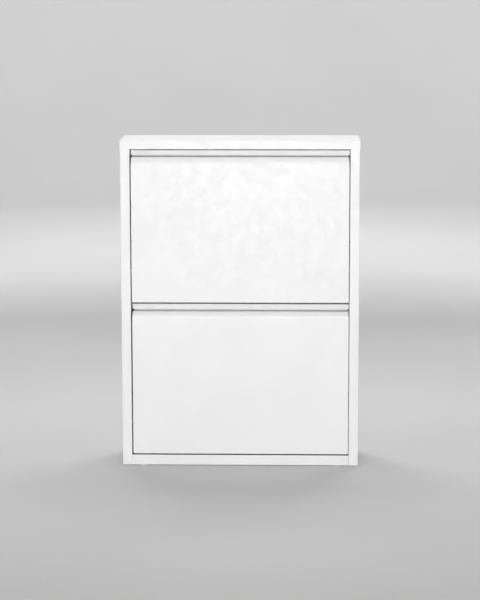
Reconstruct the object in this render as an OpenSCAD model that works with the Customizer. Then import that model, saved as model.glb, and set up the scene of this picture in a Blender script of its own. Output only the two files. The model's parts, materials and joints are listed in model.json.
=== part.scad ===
// Slim two-flap shoe cabinet in folded, powder-coated sheet steel.
// Origin: centre of the footprint, on the floor. +X right, +Y towards the wall, +Z up.
// Each flap is described in its own side view: "back" is the distance behind its front face,
// "up" is the height above its bottom edge.

/* [Cabinet] */
// Overall width, over the lid
cabinet_w = 500; // [420:5:600]
// Overall depth, front face to wall
cabinet_d = 140; // [130:1:170]
// Overall height, floor to lid
cabinet_h = 690; // [688:1:720]
// Height of the lid's folded skirt, which is also the top rail
lid_skirt_h = 18.3; // [16:0.1:20]
// Width of the front stile on each side
stile_w = 20; // [18:0.5:30]
// Depth of the stile's inner lip, which carries the pivots
lip_d = 34; // [30:0.5:36]
// Height of the bottom rail
base_rail_h = 21.9; // [20:0.1:24]
// Drop from the bottom rail's top edge to the floor plate behind it
floor_drop = 8; // [5:0.5:9]
// Thickness of the floor glides under the steel
glide_h = 1; // [0.5:0.1:3]

/* [Flaps] */
// Gap between a flap's front and the stile, on each side
flap_side_gap = 1.7; // [1.5:0.1:2.5]
// Height of the bottom edge of the lower flap above the bottom rail
flap_gap = 2.3; // [2:0.1:3]
// Height from one flap's bottom edge to the next one's
flap_pitch = 324.6; // [324:0.1:332]
// Height of the flat front, up to the bullnose
flap_face_h = 291; // [280:1:291]
// Outer radius of the bullnose where it leaves the flat front
nose_r = 22; // [20:0.5:24]
// Outer radius of the bullnose's crest
crest_r = 3; // [2.5:0.1:4]
// Distance of the upright strip behind the front face
strip_back = 24; // [20:0.5:26]
// Height of the upright strip's top edge
strip_top = 318.3; // [316:0.1:319]
// Sideways set of the upper flap on its pivots
upper_flap_set = 0.4; // [-0.7:0.1:0.7]
// Sideways set of the lower flap on its pivots
lower_flap_set = 0.7; // [-0.7:0.1:0.7]

/* [Hinge and stop] */
// Height of the pivot above the flap's bottom edge
pivot_up = 67; // [64:0.5:70]
// Distance of the pivot behind the flap's front face
pivot_back = 14; // [13:0.5:15]
// How far a flap tilts open, in degrees
tilt_max = 40; // [30:1:42]
// Distance of the stop pin from the pivot
stop_reach = 60; // [56:1:64]
// Direction of the stop pin from the pivot, in degrees above straight back
stop_angle = 83; // [80:1:86]

/* [Sheet metal] */
// Sheet thickness of the panels
sheet_t = 0.8; // [0.6:0.1:1]
// Inside radius of the folds
fold_r = 0.6; // [0.5:0.1:0.8]

/* [Hidden] */
$fn = 64;
LEFT = -1;
RIGHT = 1;
white = [0.93, 0.93, 0.93];
zinc = [0.75, 0.76, 0.78];
nylon = [0.96, 0.96, 0.94];
black_rubber = [0.12, 0.12, 0.12];

fold_out_r = fold_r + sheet_t;
seam = 0.1;

// Cabinet planes
front_y = -cabinet_d / 2;
wall_y = cabinet_d / 2;
carcass_back_y = wall_y - sheet_t;
steel_bottom_z = glide_h;
pan_top_z = steel_bottom_z + base_rail_h;
lid_edge_z = cabinet_h - lid_skirt_h;
side_x = cabinet_w / 2 - sheet_t;
web_inner_x = side_x - sheet_t;
opening_x = side_x - stile_w;
rear_flange_w = 15;
pan_return_w = 15;
pan_floor_z = pan_top_z - floor_drop;
rail_ledge_d = 2 * fold_out_r + 2 * seam;

// Flap positions
lower_flap_z = pan_top_z + flap_gap;
upper_flap_z = lower_flap_z + flap_pitch;
flap_edge_x = opening_x - flap_side_gap;
flap_flange_d = 22;
flap_sill_d = 12;
strip_overhang = 0.7;
strip_edge_x = flap_edge_x + strip_overhang;
flap_top_flange_d = 14;
groove_r = 2;
notch_w = 2.8;
nose_taper = 0.5;
nose_turn = atan(3 / 4);
nose_leg = 0.5;
nose_rise = nose_r * sin(nose_turn) + nose_leg * cos(nose_turn) + crest_r * (1 - sin(nose_turn));
nose_depth = nose_r * (1 - cos(nose_turn)) + nose_leg * sin(nose_turn) + crest_r * cos(nose_turn);
ledge_up = flap_face_h + nose_rise;

// Cheeks, shelf, guard rods and stiffener of a flap
cheek_t = 1;
cheek_x = flap_edge_x - sheet_t - cheek_t;
cheek_clear = 0.1;
cheek_foot_up = 2.2;
cheek_shoulder_play = 0.5;
cheek_slope = [16, -17];
cheek_rear_up = [10, 60];
cheek_heel = 8;
basket_back = 109;
shelf_up = 7;
shelf_front_rise = 22;
shelf_rear_rise = 25;
shelf_rear_back = basket_back - 2;
shelf_x = cheek_x - cheek_clear;
rod_r = 2.5;
rod_places = [[94, 80], [78, 135]];
collar_r = 5;
collar_t = 2;
rib_w = 40;
rib_rise = 6;
rib_up = [34, 284];

// Pivots and stops
stud_r = 3;
bush_bore_r = 3.05;
bush_r = 5;
bush_flange_r = 6;
bush_flange_t = 0.6;
bush_l = 4.5;
stud_past_bush = 3;
stud_tip_x = flap_edge_x - bush_l - stud_past_bush;
stop_pin_r = 2.5;
sleeve_r = 4;
slot_play = 0.3;
pin_past_cheek = 1.9;
pin_tip_x = cheek_x - pin_past_cheek;
pin_flange_r = 3.6;
pin_flange_t = 0.8;
head_t = 2;
stud_head_r = 5;
pin_head_r = 4.2;
hole_play = 0.05;
stop_back = pivot_back + stop_reach * cos(stop_angle);
stop_up = pivot_up + stop_reach * sin(stop_angle);

// Back panel and its fixings
back_edge_x = side_x - fold_out_r;
bead_x = 85;
bead_r = 5;
bead_z = [60, 630];
rivet_r = 1.6;
rivet_head_r = 3.4;
rivet_head_t = 1.2;
rivet_x = side_x - rear_flange_w / 2;
side_rivet_z = [70, 250, 430, 610];
edge_rivet_x = 150;
bottom_rivet_up = 6;
top_rivet_down = 10;
edge_rivet_z = [steel_bottom_z + bottom_rivet_up, cabinet_h - top_rivet_down];
rivet_places = concat(
    [for (s = [LEFT, RIGHT], z = side_rivet_z) [s * rivet_x, z]],
    [for (s = [LEFT, RIGHT], z = edge_rivet_z) [s * edge_rivet_x, z]]
);
wall_hole_r = 2.75;
wall_hole_inset = 50;
wall_hole_x = cabinet_w / 2 - wall_hole_inset;
wall_hole_z = cabinet_h - wall_hole_inset;
wall_plate = [50, 1.5, 30];

// Lid fixings
bracket_leg = 20;
bracket_t = 1;
bracket_clear = 2;
bracket_l = cabinet_d - 2 * (lip_d + bracket_clear);
lid_stud_r = 2;
lid_stud_l = 10;
lid_stud_inset = 8;
lid_stud_y = bracket_l / 2 - lid_stud_inset;
lid_stud_x = web_inner_x - bracket_leg / 2;
lid_stud_play = 0.2;
nut_af = 7;
nut_h = 3.2;

// Cross brace behind the flaps
brace_h = 22;
brace_d = 20;
brace_z = 321;
brace_back_y = wall_y - bead_r - sheet_t - 3 * seam;

// Bottom's upright flanges and floor glides
pan_flange_rise = 2;
pan_flange_l = 90;
pan_flange_y = 10;
glide_r = 8;
glide_stem_r = 2.5;
glide_stem_l = 4;
glide_inset = 45;
glide_x = cabinet_w / 2 - glide_inset;
glide_places = [
    for (s = [LEFT, RIGHT], y = [front_y + glide_r, carcass_back_y - glide_r]) [s * glide_x, y]
];

// ---- Drawing helpers ----

// Extrudes a side view (back, up) along X, centred
module along_x(length) {
    rotate([90, 0, 90]) linear_extrude(length, center = true) children();
}

// Extrudes a front view (right, up) along Y, centred
module along_y(length) {
    rotate([90, 0, 0]) linear_extrude(length, center = true) children();
}

// Puts a side-view shape through one side of the cabinet, from x0 outwards to x1
module across(side, x0, x1) {
    translate([side * (x0 + x1) / 2, 0, 0]) along_x(x1 - x0) children();
}

// Part of a ring, from 0 to the given angle, 90 degrees at most
module ring_part(r_in, r_out, angle) {
    reach = 2 * r_out;
    intersection() {
        difference() {
            circle(r_out);
            circle(r_in);
        }
        polygon([[0, 0], [reach, 0], reach * [cos(angle), sin(angle)]]);
    }
}

// Section of a folded sheet, drawn from the origin along +X with its thickness on the left.
// Each step is [straight length, turn in degrees, inside radius]; a turn to the left is positive.
module folded(steps, i = 0) {
    leg = steps[i][0];
    turn = steps[i][1];
    r = is_undef(steps[i][2]) ? fold_r : steps[i][2];
    square([leg, sheet_t]);
    if (turn > 0)
        translate([leg, sheet_t + r]) {
            rotate(-90) ring_part(r, r + sheet_t, turn);
            rotate(turn) translate([0, -sheet_t - r]) folded(steps, i + 1);
        }
    if (turn < 0)
        translate([leg, -r]) {
            rotate(90 + turn) ring_part(r, r + sheet_t, -turn);
            rotate(turn) translate([0, r]) folded(steps, i + 1);
        }
}

// Rectangle standing on y = 0 with its two top corners rounded
module arched_rect(w, h, r) {
    translate([-w / 2, 0]) square([w, h - r]);
    translate([-w / 2 + r, 0]) square([w - 2 * r, h]);
    for (s = [-1, 1])
        translate([s * (w / 2 - r), h - r]) circle(r);
}

// Rectangle centred on the origin with all its corners rounded
module rounded_rect(w, h, r) {
    square([w - 2 * r, h], center = true);
    square([w, h - 2 * r], center = true);
    for (x = [-1, 1], y = [-1, 1])
        translate([x * (w / 2 - r), y * (h / 2 - r)]) circle(r);
}

// ---- Cabinet body ----

// Box with every edge rounded except those at the bottom
module rounded_block(w, d, h, r) {
    intersection() {
        along_y(d) arched_rect(w, h, r);
        along_x(w) arched_rect(d, h, r);
        linear_extrude(h) rounded_rect(w, d, r);
    }
}

// One side: web, front stile with its lip, and rear flange, folded from one sheet
module side_panel(side) {
    top_z = cabinet_h - fold_out_r;
    color(white) mirror([side == LEFT ? 1 : 0, 0, 0]) difference() {
        translate([opening_x, front_y + lip_d, steel_bottom_z])
            linear_extrude(top_z - steel_bottom_z)
                rotate(-90) folded([
                    [lip_d - fold_out_r, 90],
                    [stile_w - 2 * fold_out_r, 90],
                    [carcass_back_y - front_y - 2 * fold_out_r, 90],
                    [rear_flange_w - fold_out_r, 0]
                ]);
        skirt_notch(front_y - 1, front_y + fold_out_r + seam);
        skirt_notch(carcass_back_y - fold_out_r - seam, wall_y);
        for (z = [lower_flap_z, upper_flap_z]) {
            flap_hole(RIGHT, z, pivot_back, pivot_up, stud_r + hole_play);
            flap_hole(RIGHT, z, stop_back, stop_up, stop_pin_r + hole_play);
        }
        rivet_holes();
    }
}

// Room for the lid's skirt at the top of a side panel, between two depths
module skirt_notch(y0, y1) {
    translate([0, y0, lid_edge_z - seam]) cube([cabinet_w, y1 - y0, cabinet_h]);
}

// Round hole across one stile, at a place given in a flap's side view
module flap_hole(side, flap_z, back, up, r) {
    translate([0, front_y, flap_z])
        across(side, opening_x - 1, opening_x + sheet_t + 1)
            translate([back, up]) circle(r);
}

// Lid: pressed tray with a skirt all round
module lid() {
    d = carcass_back_y - front_y;
    t2 = 2 * sheet_t;
    color(white) difference() {
        translate([0, (front_y + carcass_back_y) / 2, lid_edge_z]) difference() {
            rounded_block(cabinet_w, d, lid_skirt_h, fold_out_r);
            translate([0, 0, -1])
                rounded_block(cabinet_w - t2, d - t2, lid_skirt_h - sheet_t + 1, fold_r);
        }
        rivet_holes();
    }
}

// Bottom: floor of the cabinet, a front rail that stands above it, and a return under each end
module bottom_pan() {
    flange_z = steel_bottom_z + pan_flange_rise;
    flange_x = web_inner_x - seam - sheet_t / 2;
    floor_h = pan_floor_z - steel_bottom_z;
    floor_d = carcass_back_y - front_y - rail_ledge_d;
    color(white) {
        difference() {
            intersection() {
                translate([0, carcass_back_y - pan_return_w, steel_bottom_z])
                    along_x(2 * web_inner_x - 2 * seam)
                        folded([
                            [pan_return_w - fold_out_r, 90],
                            [floor_h - 2 * fold_out_r, 90],
                            [floor_d - fold_out_r - fold_r, -90],
                            [floor_drop - fold_out_r - fold_r, 90],
                            [rail_ledge_d - 2 * fold_out_r, 90],
                            [base_rail_h - 2 * fold_out_r, 90],
                            [pan_return_w - fold_out_r, 0]
                        ]);
                linear_extrude(cabinet_h) pan_outline();
            }
            rivet_holes();
            for (p = glide_places)
                translate([p.x, p.y, 0]) cylinder(r = glide_stem_r + hole_play, h = 2 * glide_stem_l);
        }
        for (side = [LEFT, RIGHT])
            translate([side * flange_x, pan_flange_y, (flange_z + pan_floor_z) / 2])
                cube([sheet_t, pan_flange_l, pan_floor_z - flange_z], center = true);
    }
}

// Outline of the bottom: full depth between the stiles, full width behind them
module pan_outline() {
    narrow_w = 2 * opening_x - 2 * seam;
    wide_w = 2 * web_inner_x - 2 * seam;
    wide_y = front_y + lip_d + seam;
    wide_d = carcass_back_y - sheet_t - seam - wide_y;
    translate([-narrow_w / 2, front_y]) square([narrow_w, carcass_back_y - front_y]);
    translate([-wide_w / 2, wide_y]) square([wide_w, wide_d]);
}

// Back: flat sheet with two pressed beads and the wall-fixing holes
module back_panel() {
    bottom_z = steel_bottom_z + fold_out_r;
    top_z = cabinet_h - fold_out_r;
    color(white) difference() {
        union() {
            translate([-back_edge_x, carcass_back_y, bottom_z])
                cube([2 * back_edge_x, sheet_t, top_z - bottom_z]);
            for (side = [LEFT, RIGHT])
                intersection() {
                    bead(side, bead_r + sheet_t);
                    translate([-back_edge_x, wall_y - 2 * bead_r, bottom_z])
                        cube([2 * back_edge_x, 2 * bead_r, top_z - bottom_z]);
                }
        }
        for (side = [LEFT, RIGHT])
            bead(side, bead_r);
        rivet_holes();
        wall_holes();
    }
}

// Long round-ended shape of a pressed bead, centred on the wall plane
module bead(side, r) {
    translate([side * bead_x, wall_y, 0]) {
        translate([0, 0, bead_z[0]]) cylinder(r = r, h = bead_z[1] - bead_z[0]);
        for (z = bead_z)
            translate([0, 0, z]) sphere(r);
    }
}

module rivet_holes() {
    for (p = rivet_places)
        translate([p.x, wall_y, p.y]) rotate([90, 0, 0])
            cylinder(r = rivet_r + hole_play, h = 8, center = true);
}

module wall_holes() {
    for (side = [LEFT, RIGHT])
        translate([side * wall_hole_x, wall_y, wall_hole_z]) rotate([90, 0, 0])
            cylinder(r = wall_hole_r, h = 10, center = true);
}

// Plates that back up the two wall-fixing holes
module wall_fixing_plates() {
    color(zinc) difference() {
        for (side = [LEFT, RIGHT])
            translate([side * wall_hole_x, carcass_back_y - wall_plate.y / 2, wall_hole_z])
                cube(wall_plate, center = true);
        wall_holes();
    }
}

// Rivets that hold the back, flush with the wall plane and headed inside
module back_rivets() {
    grip = 2 * sheet_t;
    color(zinc)
        for (p = rivet_places)
            translate([p.x, wall_y, p.y]) rotate([90, 0, 0]) {
                cylinder(r = rivet_r, h = grip + rivet_head_t);
                translate([0, 0, grip]) cylinder(r = rivet_head_r, h = rivet_head_t);
            }
}

// Channel that ties the two sides together between the flaps
module cross_brace() {
    color(white)
        translate([0, brace_back_y - brace_d, brace_z])
            along_x(2 * web_inner_x - 2 * seam)
                translate([brace_d, 0]) mirror([1, 0])
                    folded([
                        [brace_d - fold_out_r, 90],
                        [brace_h - 2 * fold_out_r, 90],
                        [brace_d - fold_out_r, 0]
                    ]);
}

// Angle welded inside the top of a side, which the lid's studs pass through
module lid_bracket(side) {
    outer_x = web_inner_x - seam;
    top_z = cabinet_h - sheet_t - seam;
    color(white) difference() {
        union() {
            across_box(side, outer_x - bracket_t, outer_x, top_z - bracket_leg, top_z);
            across_box(side, outer_x - bracket_leg, outer_x, top_z - bracket_t, top_z);
        }
        for (y = [-lid_stud_y, lid_stud_y])
            translate([side * lid_stud_x, y, top_z])
                cylinder(r = lid_stud_r + lid_stud_play, h = 4 * bracket_t, center = true);
    }
}

// Block of the lid bracket's length, between two widths and two heights
module across_box(side, x0, x1, z0, z1) {
    translate([side * (x0 + x1) / 2, 0, (z0 + z1) / 2])
        cube([x1 - x0, bracket_l, z1 - z0], center = true);
}

// Repeats a lid fixing at its four places, just under the lid's plate
module at_lid_fixings() {
    for (side = [LEFT, RIGHT], y = [-lid_stud_y, lid_stud_y])
        translate([side * lid_stud_x, y, cabinet_h - sheet_t]) children();
}

module lid_studs() {
    color(zinc) at_lid_fixings()
        translate([0, 0, -lid_stud_l]) cylinder(r = lid_stud_r, h = lid_stud_l);
}

module lid_nuts() {
    across_corners_r = nut_af / 2 / cos(30);
    color(zinc) at_lid_fixings()
        translate([0, 0, -seam - bracket_t - nut_h]) difference() {
            cylinder(r = across_corners_r, h = nut_h, $fn = 6);
            translate([0, 0, -1]) cylinder(r = lid_stud_r + hole_play, h = nut_h + 2);
        }
}

// Nylon glides pressed into the bottom's folded returns
module floor_glides() {
    color(nylon)
        for (p = glide_places)
            translate([p.x, p.y, 0]) {
                cylinder(r = glide_r, h = glide_h);
                cylinder(r = glide_stem_r, h = glide_stem_l);
            }
}

// Repeats a side-view place for both stiles and both flaps; children lie along +X from the lip
module at_stiles(back, up) {
    for (side = [LEFT, RIGHT], z = [lower_flap_z, upper_flap_z])
        mirror([side == LEFT ? 1 : 0, 0, 0])
            translate([0, front_y + back, z + up]) rotate([0, 90, 0]) children();
}

// Studs that the flaps turn on, headed inside the stiles
module pivot_studs() {
    head_x = opening_x + sheet_t;
    color(zinc) at_stiles(pivot_back, pivot_up) {
        translate([0, 0, stud_tip_x]) cylinder(r = stud_r, h = head_x - stud_tip_x);
        translate([0, 0, head_x]) cylinder(r = stud_head_r, h = head_t);
    }
}

// Pins that end the flaps' travel, headed at both ends
module stop_pins() {
    head_x = opening_x + sheet_t;
    color(zinc) at_stiles(stop_back, stop_up) {
        translate([0, 0, pin_tip_x]) cylinder(r = stop_pin_r, h = head_x - pin_tip_x);
        translate([0, 0, pin_tip_x]) cylinder(r = pin_flange_r, h = pin_flange_t);
        translate([0, 0, head_x]) cylinder(r = pin_head_r, h = head_t);
    }
}

// Rubber sleeves on the stop pins, which meet the ends of the slots
module stop_sleeves() {
    x0 = pin_tip_x + pin_flange_t + seam;
    x1 = opening_x - seam;
    color(black_rubber) at_stiles(stop_back, stop_up)
        difference() {
            translate([0, 0, x0]) cylinder(r = sleeve_r, h = x1 - x0);
            translate([0, 0, x0 - 1]) cylinder(r = stop_pin_r + hole_play, h = x1 - x0 + 2);
        }
}

// ---- Flaps ----

// Moves a flap's own frame to its place in the cabinet
module place_flap(z, set) {
    translate([set, front_y, z]) children();
}

// Side view of the front sheet, from the top flange down to the sill
module front_section() {
    top_flange_end = strip_back + flap_top_flange_d;
    translate([top_flange_end, strip_top]) rotate(180) folded([
        [flap_top_flange_d - fold_out_r, 90],
        [strip_top - fold_out_r - ledge_up - groove_r, -90, groove_r],
        [strip_back - groove_r - nose_depth, 90 - nose_turn, crest_r - sheet_t],
        [nose_leg, nose_turn, nose_r - sheet_t],
        [flap_face_h - fold_out_r, 90],
        [flap_sill_d - fold_out_r, 0]
    ]);
}

// Front view of the front sheet: face, tapered bullnose ends, and the wider strip
module front_outline() {
    face_x = flap_edge_x - fold_out_r;
    nose_x = flap_edge_x - nose_taper;
    nose_mid_up = flap_face_h + nose_rise / 2;
    neck_x = flap_edge_x - notch_w;
    neck_up = ledge_up + groove_r;
    translate([-face_x, 0]) square([2 * face_x, flap_face_h]);
    polygon([
        [-nose_x, flap_face_h], [nose_x, flap_face_h],
        [nose_x - nose_taper, nose_mid_up], [neck_x, ledge_up],
        [neck_x, neck_up], [-neck_x, neck_up],
        [-neck_x, ledge_up], [-nose_x + nose_taper, nose_mid_up]
    ]);
    translate([-strip_edge_x, neck_up]) square([2 * strip_edge_x, strip_top - neck_up]);
}

// Front sheet: face, bullnose, groove, strip, and a flange on every side
module flap_front() {
    face_x = flap_edge_x - fold_out_r;
    color(white) difference() {
        union() {
            intersection() {
                along_x(cabinet_w) front_section();
                translate([0, cabinet_d / 4, 0]) along_y(cabinet_d) front_outline();
            }
            for (side = [LEFT, RIGHT])
                mirror([side == LEFT ? 1 : 0, 0, 0])
                    translate([face_x, fold_out_r, fold_out_r])
                        linear_extrude(flap_face_h - fold_out_r) {
                            rotate(-90) ring_part(fold_r, fold_out_r, 90);
                            translate([fold_r, 0])
                                square([sheet_t, flap_flange_d - fold_out_r]);
                        }
        }
        for (side = [LEFT, RIGHT])
            side_openings(side);
    }
}

// Bush hole and curved stop slot through one side of a flap
module side_openings(side) {
    slot_r = sleeve_r + slot_play;
    across(side, cheek_x - 1, flap_edge_x + 1) {
        translate([pivot_back, pivot_up]) {
            circle(bush_r + hole_play);
            rotate(stop_angle - tilt_max)
                ring_part(stop_reach - slot_r, stop_reach + slot_r, tilt_max);
            for (a = [stop_angle - tilt_max, stop_angle])
                translate(stop_reach * [cos(a), sin(a)]) circle(slot_r);
        }
    }
}

// Side plate of a flap, which carries the bush, the slot, the shelf and the rods
module flap_cheek(side) {
    front = fold_out_r;
    top = ledge_up - fold_out_r;
    shoulder = [strip_back - groove_r - cheek_shoulder_play, top];
    color(white) difference() {
        across(side, cheek_x, cheek_x + cheek_t)
            polygon([
                [front, cheek_foot_up], [front, flap_face_h], [nose_depth, top],
                shoulder, shoulder + cheek_slope,
                [basket_back, cheek_rear_up[1]], [basket_back, cheek_rear_up[0]],
                [basket_back - cheek_heel, cheek_foot_up]
            ]);
        side_openings(side);
        for (p = rod_places)
            across(side, cheek_x - 1, cheek_x + cheek_t + 1)
                translate(p) circle(rod_r + hole_play);
    }
}

// Shelf that the shoes stand on, turned up at the front and rear
module flap_shelf() {
    front = sheet_t + cheek_clear;
    color(white)
        along_x(2 * shelf_x)
            translate([front, shelf_up + shelf_front_rise]) rotate(-90) folded([
                [shelf_front_rise - fold_out_r, 90],
                [shelf_rear_back - front - 2 * fold_out_r, 90],
                [shelf_rear_rise - fold_out_r, 0]
            ]);
}

// Shallow channel that stiffens the middle of the front sheet
module flap_stiffener() {
    front = sheet_t + cheek_clear;
    web_w = rib_w / 2;
    lug = (rib_w - web_w) / 2;
    color(white)
        translate([0, front, rib_up[0]])
            linear_extrude(rib_up[1] - rib_up[0]) {
                translate([-rib_w / 2, 0]) square([lug, sheet_t]);
                translate([rib_w / 2 - lug, 0]) square([lug, sheet_t]);
                translate([-web_w / 2, rib_rise - sheet_t]) square([web_w, sheet_t]);
                for (s = [LEFT, RIGHT])
                    translate([s * (web_w - sheet_t) / 2 - sheet_t / 2, 0])
                        square([sheet_t, rib_rise]);
            }
}

// Round bars that keep the shoes from falling back
module flap_guard_rods() {
    color(zinc)
        along_x(2 * (cheek_x + cheek_t))
            for (p = rod_places)
                translate(p) circle(rod_r);
}

// Nylon collars on the guard rods, against the cheeks
module flap_rod_collars() {
    color(nylon)
        for (side = [LEFT, RIGHT], p = rod_places)
            across(side, shelf_x - collar_t, shelf_x)
                translate(p) difference() {
                    circle(collar_r);
                    circle(rod_r + hole_play);
                }
}

// Nylon bushes that turn on the pivot studs
module flap_bushes() {
    color(nylon)
        for (side = [LEFT, RIGHT]) {
            across(side, flap_edge_x - bush_l, flap_edge_x) bush_ring(bush_r);
            across(side, flap_edge_x, flap_edge_x + bush_flange_t) bush_ring(bush_flange_r);
        }
}

module bush_ring(r) {
    translate([pivot_back, pivot_up]) difference() {
        circle(r);
        circle(bush_bore_r);
    }
}

module upper_flap() { place_flap(upper_flap_z, upper_flap_set) children(); }
module lower_flap() { place_flap(lower_flap_z, lower_flap_set) children(); }

side_panel(LEFT);  // left_side_panel
side_panel(RIGHT);  // right_side_panel
lid();
bottom_pan();
back_panel();
cross_brace();
lid_bracket(LEFT);  // left_lid_bracket
lid_bracket(RIGHT);  // right_lid_bracket
lid_studs();
lid_nuts();
wall_fixing_plates();
back_rivets();
pivot_studs();
stop_pins();
stop_sleeves();
floor_glides();
upper_flap() flap_front();  // upper_flap_front
upper_flap() flap_cheek(LEFT);  // upper_flap_left_cheek
upper_flap() flap_cheek(RIGHT);  // upper_flap_right_cheek
upper_flap() flap_shelf();  // upper_flap_shelf
upper_flap() flap_stiffener();  // upper_flap_stiffener
upper_flap() flap_guard_rods();  // upper_flap_guard_rods
upper_flap() flap_rod_collars();  // upper_flap_rod_collars
upper_flap() flap_bushes();  // upper_flap_bushes
lower_flap() flap_front();  // lower_flap_front
lower_flap() flap_cheek(LEFT);  // lower_flap_left_cheek
lower_flap() flap_cheek(RIGHT);  // lower_flap_right_cheek
lower_flap() flap_shelf();  // lower_flap_shelf
lower_flap() flap_stiffener();  // lower_flap_stiffener
lower_flap() flap_guard_rods();  // lower_flap_guard_rods
lower_flap() flap_rod_collars();  // lower_flap_rod_collars
lower_flap() flap_bushes();  // lower_flap_bushes
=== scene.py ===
"""Looks of the slim two-flap shoe cabinet: camera, materials, turned hardware and studio.

Everything is in metres, in the row frame: +X right, +Y towards the wall, +Z up, floor at z = 0.
"""
import json
import math

import bmesh
import bpy
from mathutils import Matrix, Vector


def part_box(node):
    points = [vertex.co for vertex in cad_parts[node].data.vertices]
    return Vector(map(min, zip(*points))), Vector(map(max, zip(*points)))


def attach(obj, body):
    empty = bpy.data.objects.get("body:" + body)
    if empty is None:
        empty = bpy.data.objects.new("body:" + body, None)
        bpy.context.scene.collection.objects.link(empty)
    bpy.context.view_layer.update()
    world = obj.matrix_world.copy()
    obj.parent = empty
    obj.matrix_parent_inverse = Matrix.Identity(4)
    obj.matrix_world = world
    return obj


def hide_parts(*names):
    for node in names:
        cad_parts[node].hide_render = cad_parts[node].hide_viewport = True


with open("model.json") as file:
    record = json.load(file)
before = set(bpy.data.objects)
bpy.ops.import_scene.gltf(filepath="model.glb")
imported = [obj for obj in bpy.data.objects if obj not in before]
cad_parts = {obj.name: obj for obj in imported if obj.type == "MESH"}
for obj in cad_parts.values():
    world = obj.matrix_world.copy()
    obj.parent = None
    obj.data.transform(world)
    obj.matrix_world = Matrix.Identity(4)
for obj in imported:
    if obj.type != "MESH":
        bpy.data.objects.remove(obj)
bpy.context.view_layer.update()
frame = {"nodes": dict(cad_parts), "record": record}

NODES = frame["nodes"]
FRONT_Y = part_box("left_side_panel")[0].y


# ---- Camera ----

def add_camera():
    """Long-lens camera a little above the lid, a little to the right, looking slightly down."""
    pitch, yaw, roll = (math.radians(a) for a in (9.116, -1.630, -0.090))
    forward = Vector((math.sin(yaw) * math.cos(pitch), math.cos(yaw) * math.cos(pitch), -math.sin(pitch)))
    level = Vector((math.cos(yaw), -math.sin(yaw), 0))
    up = level.cross(forward)
    right = math.cos(roll) * level + math.sin(roll) * up
    up = -math.sin(roll) * level + math.cos(roll) * up
    data = bpy.data.cameras.new("camera")
    data.sensor_fit = "AUTO"
    data.sensor_width = 36
    data.lens = 122.83
    data.clip_end = 50
    camera = bpy.data.objects.new("camera", data)
    bpy.context.scene.collection.objects.link(camera)
    place = Vector((0.1205, FRONT_Y - 4.2318, 1.0351))
    camera.matrix_world = Matrix((
        (right.x, up.x, -forward.x, place.x),
        (right.y, up.y, -forward.y, place.y),
        (right.z, up.z, -forward.z, place.z),
        (0, 0, 0, 1),
    ))
    bpy.context.scene.camera = camera


# ---- Node helpers ----

def new_material(name):
    """A new material and its Principled shader."""
    material = bpy.data.materials.new(name)
    material.use_nodes = True
    return material, material.node_tree.nodes["Principled BSDF"]


def link(material, a, b):
    """Joins an output socket to an input socket."""
    material.node_tree.links.new(a, b)


def noise(material, scale, detail=2.0, stretch=(1, 1, 1)):
    """Noise in object space, which is the row frame in metres; scale is in waves per metre."""
    nodes = material.node_tree.nodes
    place = nodes.new("ShaderNodeTexCoord")
    mapping = nodes.new("ShaderNodeMapping")
    mapping.inputs["Scale"].default_value = stretch
    texture = nodes.new("ShaderNodeTexNoise")
    texture.inputs["Scale"].default_value = scale
    texture.inputs["Detail"].default_value = detail
    link(material, place.outputs["Object"], mapping.inputs["Vector"])
    link(material, mapping.outputs["Vector"], texture.inputs["Vector"])
    return texture.outputs["Fac"]


def remap(material, value, low, high, start=0.3, end=0.7):
    """Maps a value between start and end onto low..high."""
    node = material.node_tree.nodes.new("ShaderNodeMapRange")
    node.inputs["From Min"].default_value = start
    node.inputs["From Max"].default_value = end
    node.inputs["To Min"].default_value = low
    node.inputs["To Max"].default_value = high
    link(material, value, node.inputs["Value"])
    return node.outputs["Result"]


def ramp(material, value, dark, light):
    """Colour that drifts between two tones over the middle of a noise value's range."""
    start, end = 0.35, 0.65
    node = material.node_tree.nodes.new("ShaderNodeValToRGB")
    node.color_ramp.elements[0].position = start
    node.color_ramp.elements[0].color = (*dark, 1)
    node.color_ramp.elements[1].position = end
    node.color_ramp.elements[1].color = (*light, 1)
    link(material, value, node.inputs["Fac"])
    return node.outputs["Color"]


def bump(material, height, distance, below=None):
    """Bump of a real height in metres, laid over another bump where one is given."""
    node = material.node_tree.nodes.new("ShaderNodeBump")
    node.inputs["Distance"].default_value = distance
    link(material, height, node.inputs["Height"])
    if below is not None:
        link(material, below, node.inputs["Normal"])
    return node.outputs["Normal"]


def soft_edges(material, radius):
    """Normal that rounds every sharp edge a little, and a mask that is 1 on those edges."""
    nodes = material.node_tree.nodes
    rounded = nodes.new("ShaderNodeBevel")
    rounded.samples = 6
    rounded.inputs["Radius"].default_value = radius
    flat = nodes.new("ShaderNodeNewGeometry")
    cosine = nodes.new("ShaderNodeVectorMath")
    cosine.operation = "DOT_PRODUCT"
    link(material, rounded.outputs["Normal"], cosine.inputs[0])
    link(material, flat.outputs["Normal"], cosine.inputs[1])
    mask = remap(material, cosine.outputs["Value"], 1.0, 0.0, start=0.80, end=0.99)
    return rounded.outputs["Normal"], mask


def blend_colours(material, mask, colour, other):
    """Mixes a linked colour towards a fixed one by a mask."""
    node = material.node_tree.nodes.new("ShaderNodeMix")
    node.data_type = "RGBA"
    colour_in = [i for i in node.inputs if i.name == "A" and i.type == "RGBA"][0]
    other_in = [i for i in node.inputs if i.name == "B" and i.type == "RGBA"][0]
    other_in.default_value = (*other, 1)
    link(material, mask, node.inputs["Factor"])
    link(material, colour, colour_in)
    return [o for o in node.outputs if o.type == "RGBA"][0]


def product(material, a, b):
    """Product of two linked values."""
    node = material.node_tree.nodes.new("ShaderNodeMath")
    node.operation = "MULTIPLY"
    link(material, a, node.inputs[0])
    link(material, b, node.inputs[1])
    return node.outputs["Value"]


# ---- Materials ----

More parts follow.
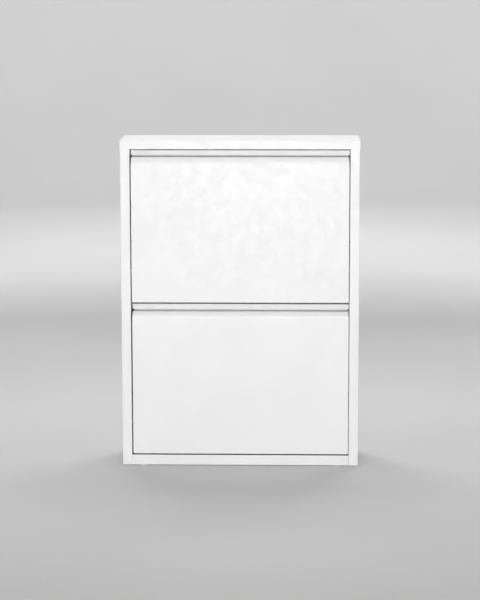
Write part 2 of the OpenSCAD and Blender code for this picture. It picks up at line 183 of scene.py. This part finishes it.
def powder_coat():
    """White satin powder coat: orange peel, fine grain, sparse nibs and chafed, greyer edges."""
    material, shader = new_material("white_powder_coat")
    rounded, edge = soft_edges(material, 0.0006)
    tone = ramp(material, noise(material, 9, detail=3), (0.862, 0.862, 0.860), (0.885, 0.885, 0.882))
    chafed = product(material, edge, remap(material, noise(material, 140, detail=5), 0.0, 0.8, 0.50, 0.68))
    link(material, blend_colours(material, chafed, tone, (0.60, 0.60, 0.61)), shader.inputs["Base Color"])
    sheen_drift = noise(material, 60, detail=4)
    link(material, remap(material, sheen_drift, 0.36, 0.48), shader.inputs["Roughness"])
    peel = bump(material, noise(material, 420, detail=1.5), 0.00003, below=rounded)
    grain = bump(material, noise(material, 2600, detail=2), 0.000008, below=peel)
    specks = remap(material, noise(material, 900, detail=1), 0.0, 1.0, 0.74, 0.80)
    nibs = bump(material, specks, 0.00004, below=grain)
    link(material, nibs, shader.inputs["Normal"])
    shader.inputs["Specular IOR Level"].default_value = 0.5
    return material


def zinc_plate():
    """Bright zinc plating: cool grey metal with a soft blue and straw drift."""
    material, shader = new_material("zinc_plate")
    tone = noise(material, 220, detail=3)
    link(material, ramp(material, tone, (0.60, 0.62, 0.66), (0.74, 0.73, 0.69)), shader.inputs["Base Color"])
    shader.inputs["Metallic"].default_value = 1
    link(material, remap(material, noise(material, 900, detail=4), 0.24, 0.42), shader.inputs["Roughness"])
    grain = bump(material, noise(material, 3000, detail=3), 0.000006)
    link(material, grain, shader.inputs["Normal"])
    return material


def bright_rod():
    """Drawn, nickel-plated rod: fine lines along its length."""
    material, shader = new_material("bright_rod")
    drawn = noise(material, 1800, detail=3, stretch=(0.01, 1, 1))
    link(material, ramp(material, drawn, (0.66, 0.66, 0.67), (0.78, 0.77, 0.76)), shader.inputs["Base Color"])
    shader.inputs["Metallic"].default_value = 1
    link(material, remap(material, drawn, 0.16, 0.30), shader.inputs["Roughness"])
    lines = bump(material, drawn, 0.000006)
    link(material, lines, shader.inputs["Normal"])
    return material


def white_nylon():
    """Moulded natural nylon, slightly waxy."""
    material, shader = new_material("white_nylon")
    tone = noise(material, 180, detail=2)
    link(material, ramp(material, tone, (0.83, 0.83, 0.79), (0.88, 0.88, 0.85)), shader.inputs["Base Color"])
    link(material, remap(material, noise(material, 700), 0.42, 0.55), shader.inputs["Roughness"])
    shader.inputs["Subsurface Weight"].default_value = 0.12
    shader.inputs["Subsurface Radius"].default_value = (0.002, 0.002, 0.0018)
    grain = bump(material, noise(material, 2200, detail=2), 0.00001)
    link(material, grain, shader.inputs["Normal"])
    return material


def black_rubber():
    """Matt black rubber with a dusty bloom."""
    material, shader = new_material("black_rubber")
    bloom = noise(material, 500, detail=4)
    tone = ramp(material, bloom, (0.018, 0.018, 0.018), (0.040, 0.040, 0.041))
    link(material, tone, shader.inputs["Base Color"])
    link(material, remap(material, bloom, 0.62, 0.80), shader.inputs["Roughness"])
    link(material, bump(material, noise(material, 1500, detail=3), 0.00003), shader.inputs["Normal"])
    return material


def studio_floor_paint():
    """Plain pale studio floor."""
    material, shader = new_material("studio_floor")
    tone = noise(material, 1.5, detail=2)
    link(material, ramp(material, tone, (0.70, 0.70, 0.70), (0.72, 0.72, 0.72)), shader.inputs["Base Color"])
    shader.inputs["Roughness"].default_value = 0.8
    return material


def paint_nodes():
    """Gives every CAD node the material of its slot in the record; returns the materials by slot."""
    materials = {
        "white_powder_coat": powder_coat(),
        "zinc_plate": zinc_plate(),
        "bright_rod": bright_rod(),
        "white_nylon": white_nylon(),
        "black_rubber": black_rubber(),
    }
    for part in frame["record"]["subparts"]:
        mesh = NODES[part["node"]].data
        mesh.materials.clear()
        mesh.materials.append(materials[part["material_slot"]])
    return materials


# ---- Turned hardware ----

X, Y, Z = 0, 1, 2
SEGMENTS = 48
CORNER_POINTS = (0, 0.2, 0.4, 0.6, 0.8, 1)
LONGEST_CORNER = 0.45  # of the shorter side beside a corner
SAME_RADIUS = 0.00002
CREASE = math.radians(35)
THREAD_DEPTH = 0.35  # of the pitch
NUT_CHAMFER = 0.6  # height of a nut's chamfer, of corner radius less flat radius


def solids_of(mesh):
    """Corner points of each separate solid in a node's mesh."""
    keys = [tuple(round(c, 6) for c in vertex.co) for vertex in mesh.vertices]
    parent = {key: key for key in keys}

    def root(key):
        while parent[key] != key:
            key = parent[key]
        return key

    for edge in mesh.edges:
        a, b = (root(keys[i]) for i in edge.vertices)
        parent[a] = b
    groups = {}
    for key in parent:
        groups.setdefault(root(key), []).append(key)
    return [sorted(groups[key]) for key in sorted(groups)]


def stepped_profile(points, axis):
    """Centre line, steps (along, radius) from one end to the other, and the bore's radius, or None."""
    across = [i for i in (X, Y, Z) if i != axis]
    centre = [(min(p[i] for p in points) + max(p[i] for p in points)) / 2 for i in across]
    levels = {}
    for point in points:
        radius = math.hypot(*(point[i] - c for i, c in zip(across, centre)))
        levels.setdefault(round(point[axis], 5), set()).add(round(radius, 5))
    ends = levels[min(levels)], levels[max(levels)]
    hollow = all(len(radii) > 1 for radii in ends) and min(ends[0]) == min(ends[1])
    bore = min(ends[0]) if hollow else None
    steps = []
    for along in sorted(levels):
        radii = sorted(levels[along] - {bore})
        if steps and len(radii) > 1 and abs(radii[-1] - steps[-1][1]) < SAME_RADIUS:
            radii.reverse()
        steps += [(along, radius) for radius in radii]
    return centre, steps, bore


def filleted(outline, radius, closed):
    """Outline with every corner rounded; an open one keeps its two ends, on the centre line, sharp."""
    rounded = []
    count = len(outline)
    for i, corner in enumerate(outline):
        if not closed and i in (0, count - 1):
            rounded.append(corner)
            continue
        here = Vector(corner)
        before = Vector(outline[i - 1]) - here
        after = Vector(outline[(i + 1) % count]) - here
        reach = min(radius, LONGEST_CORNER * before.length, LONGEST_CORNER * after.length)
        start = here + before.normalized() * reach
        end = here + after.normalized() * reach
        for t in CORNER_POINTS:
            rounded.append(tuple((1 - t) ** 2 * start + 2 * t * (1 - t) * here + t ** 2 * end))
    return rounded


def thread(steps, pitch, depth):
    """Outline of a threaded stud: a crest and a root for every turn."""
    (low, radius), (high, _) = steps[0], steps[-1]
    turns = int((high - low) / pitch) - 1
    outline = [(low, 0), (low, radius - depth)]
    for i in range(turns):
        crest = low + (i + 1) * pitch
        outline += [(crest, radius), (crest + pitch / 2, radius - depth)]
    return outline + [(high, radius - depth), (high, 0)]


def hexagon_limit(angle, corner_radius):
    """Distance from the centre to a hexagon's side in a direction."""
    return corner_radius * math.cos(math.pi / 6) / math.cos(angle % (math.pi / 3) - math.pi / 6)


def nut_outline(steps, bore):
    """Outline of a nut whose corners are chamfered at both faces."""
    (low, corner), (high, _) = steps[0], steps[-1]
    flat = corner * math.cos(math.pi / 6)
    drop = NUT_CHAMFER * (corner - flat)
    return [
        (low, bore),
        (low, flat),
        (low + drop, corner),
        (high - drop, corner),
        (high, flat),
        (high, bore),
    ]


def rounded_outline(steps, bore, fillet):
    """Outline of a stepped piece with rounded corners, from its bore or from its centre line."""
    inner = 0 if bore is None else bore
    outline = [(steps[0][0], inner)] + steps + [(steps[-1][0], inner)]
    return filleted(outline, fillet, bore is not None)


def add_turned_solid(vertices, faces, outline, centre, axis, closed, hexagon_corner=None):
    """Spins an outline round its centre line and adds the shell to the vertices and faces."""
    across = [i for i in (X, Y, Z) if i != axis]
    rings = []
    for along, radius in outline:
        ring = []
        for j in range(SEGMENTS if radius > 0 else 1):
            angle = math.tau * j / SEGMENTS
            reach = min(radius, hexagon_limit(angle, hexagon_corner)) if hexagon_corner else radius
            place = [0, 0, 0]
            place[axis] = along
            place[across[0]] = centre[0] + reach * math.cos(angle)
            place[across[1]] = centre[1] + reach * math.sin(angle)
            ring.append(len(vertices))
            vertices.append(place)
        rings.append(ring)
    following = rings[1:] + rings[:1] if closed else rings[1:]
    for a, b in zip(rings, following):
        for j in range(SEGMENTS):
            k = (j + 1) % SEGMENTS
            corners = [a[j % len(a)], a[k % len(a)], b[k % len(b)], b[j % len(b)]]
            faces.append(list(dict.fromkeys(corners)))


def smooth_piece(name, vertices, faces):
    """A linked object with its faces turned outwards, smooth except at its creases."""
    mesh = bpy.data.meshes.new(name)
    mesh.from_pydata(vertices, [], faces)
    shell = bmesh.new()
    shell.from_mesh(mesh)
    bmesh.ops.recalc_face_normals(shell, faces=shell.faces)
    shell.to_mesh(mesh)
    shell.free()
    for polygon in mesh.polygons:
        polygon.use_smooth = True
    mesh.set_sharp_from_angle(angle=CREASE)
    piece = bpy.data.objects.new(name, mesh)
    bpy.context.scene.collection.objects.link(piece)
    return piece


def turned(node, axis, fillet=0.0, thread_pitch=None, hexagonal=False):
    """A finely turned piece that stands for a node of plain stepped cylinders or plain nuts."""
    vertices, faces = [], []
    for points in solids_of(NODES[node].data):
        centre, steps, bore = stepped_profile(points, axis)
        if hexagonal:
            outline = nut_outline(steps, bore)
        elif thread_pitch:
            outline = thread(steps, thread_pitch, THREAD_DEPTH * thread_pitch)
        else:
            outline = rounded_outline(steps, bore, fillet)
        corner = steps[0][1] if hexagonal else None
        add_turned_solid(vertices, faces, outline, centre, axis, bore is not None, corner)
    return smooth_piece(node + "_turned", vertices, faces)


def add_hardware(materials):
    """Turned pieces in place of the plain studs, pins, rivets, rods, bushes, sleeves, nuts and glides."""
    hardware = {
        "back_rivets": turned("back_rivets", Y, 0.0011),
        "pivot_studs": turned("pivot_studs", X, 0.0008),
        "stop_pins": turned("stop_pins", X, 0.0007),
        "stop_sleeves": turned("stop_sleeves", X, 0.0005),
        "floor_glides": turned("floor_glides", Z, 0.0004),
        "lid_studs": turned("lid_studs", Z, thread_pitch=0.0007),
        "lid_nuts": turned("lid_nuts", Z, hexagonal=True),
    }
    for flap in ("upper_flap", "lower_flap"):
        hardware[flap + "_guard_rods"] = turned(flap + "_guard_rods", X, 0.0009)
        hardware[flap + "_rod_collars"] = turned(flap + "_rod_collars", X, 0.0006)
        hardware[flap + "_bushes"] = turned(flap + "_bushes", X, 0.0003)
    record = frame["record"]
    body_of_node = {node: body for body, nodes in record["behaviour"]["bodies"].items() for node in nodes}
    slot_of_node = {part["node"]: part["material_slot"] for part in record["subparts"]}
    for node, piece in hardware.items():
        piece.data.materials.append(materials[slot_of_node[node]])
        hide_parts(node)
        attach(piece, body_of_node[node])


# ---- Studio ----

def add_floor():
    """Round studio cove: a flat pale floor that curves up into a wall all the way round."""
    wall_radius, curve, height, centre_radius = 7.0, 2.0, 5.0, 0.5
    curve_steps, segments = 16, 96
    profile = [(centre_radius, 0.0)]
    for i in range(curve_steps + 1):
        a = math.radians(90 * i / curve_steps)
        profile.append((wall_radius - curve + curve * math.sin(a), curve - curve * math.cos(a)))
    profile.append((wall_radius, height))
    vertices = []
    for radius, z in profile:
        for j in range(segments):
            a = math.tau * j / segments
            vertices.append((radius * math.cos(a), radius * math.sin(a), z))
    faces = [tuple(range(segments))]
    for i in range(len(profile) - 1):
        for j in range(segments):
            k = (j + 1) % segments
            faces.append((i * segments + j, (i + 1) * segments + j, (i + 1) * segments + k, i * segments + k))
    mesh = bpy.data.meshes.new("studio_floor")
    mesh.from_pydata(vertices, [], faces)
    for polygon in mesh.polygons:
        polygon.use_smooth = True
    floor = bpy.data.objects.new("studio_floor", mesh)
    bpy.context.scene.collection.objects.link(floor)
    mesh.materials.append(studio_floor_paint())


def add_area_light(name, place, target, size, power):
    """Soft rectangular light at a place, turned towards a target, and not seen itself."""
    data = bpy.data.lights.new(name, "AREA")
    data.shape = "RECTANGLE"
    data.size, data.size_y = size
    data.energy = power
    lamp = bpy.data.objects.new(name, data)
    bpy.context.scene.collection.objects.link(lamp)
    lamp.location = place
    lamp.rotation_euler = (Vector(target) - Vector(place)).to_track_quat("-Z", "Y").to_euler()
    lamp.visible_camera = False


def add_lights():
    """Softboxes for the front, the bullnoses and the lid, fills at the sides and back, a wall wash."""
    middle = (0, 0, 0.35)
    add_area_light("front_softbox", (0, FRONT_Y - 4.6, 0.5), middle, (1.4, 1.0), 118)
    add_area_light("overhead_softbox", (0, FRONT_Y - 0.4, 1.9), (0, FRONT_Y, 0.5), (1.4, 0.5), 7.2)
    add_area_light("lid_softbox", (0, 0.9, 2.3), middle, (1.6, 1.0), 26)
    for side in (-1, 1):
        add_area_light("side_fill", (side * 3.0, 0.5, 1.2), middle, (1.2, 1.2), 12)
        add_area_light("back_fill", (side * 1.8, 2.8, 1.3), middle, (1.0, 1.0), 9)
    add_area_light("backdrop_wash", (0, 2.6, 2.6), (0, 6.6, 1.3), (4.0, 1.0), 130)
    world = bpy.data.worlds.new("surround")
    bpy.context.scene.world = world
    world.use_nodes = True
    background = world.node_tree.nodes["Background"]
    background.inputs["Color"].default_value = (1, 1, 1, 1)
    background.inputs["Strength"].default_value = 0.06
    bpy.context.scene.view_settings.view_transform = "Standard"
    bpy.context.scene.view_settings.look = "None"


add_camera()
add_hardware(paint_nodes())
add_floor()
add_lights()
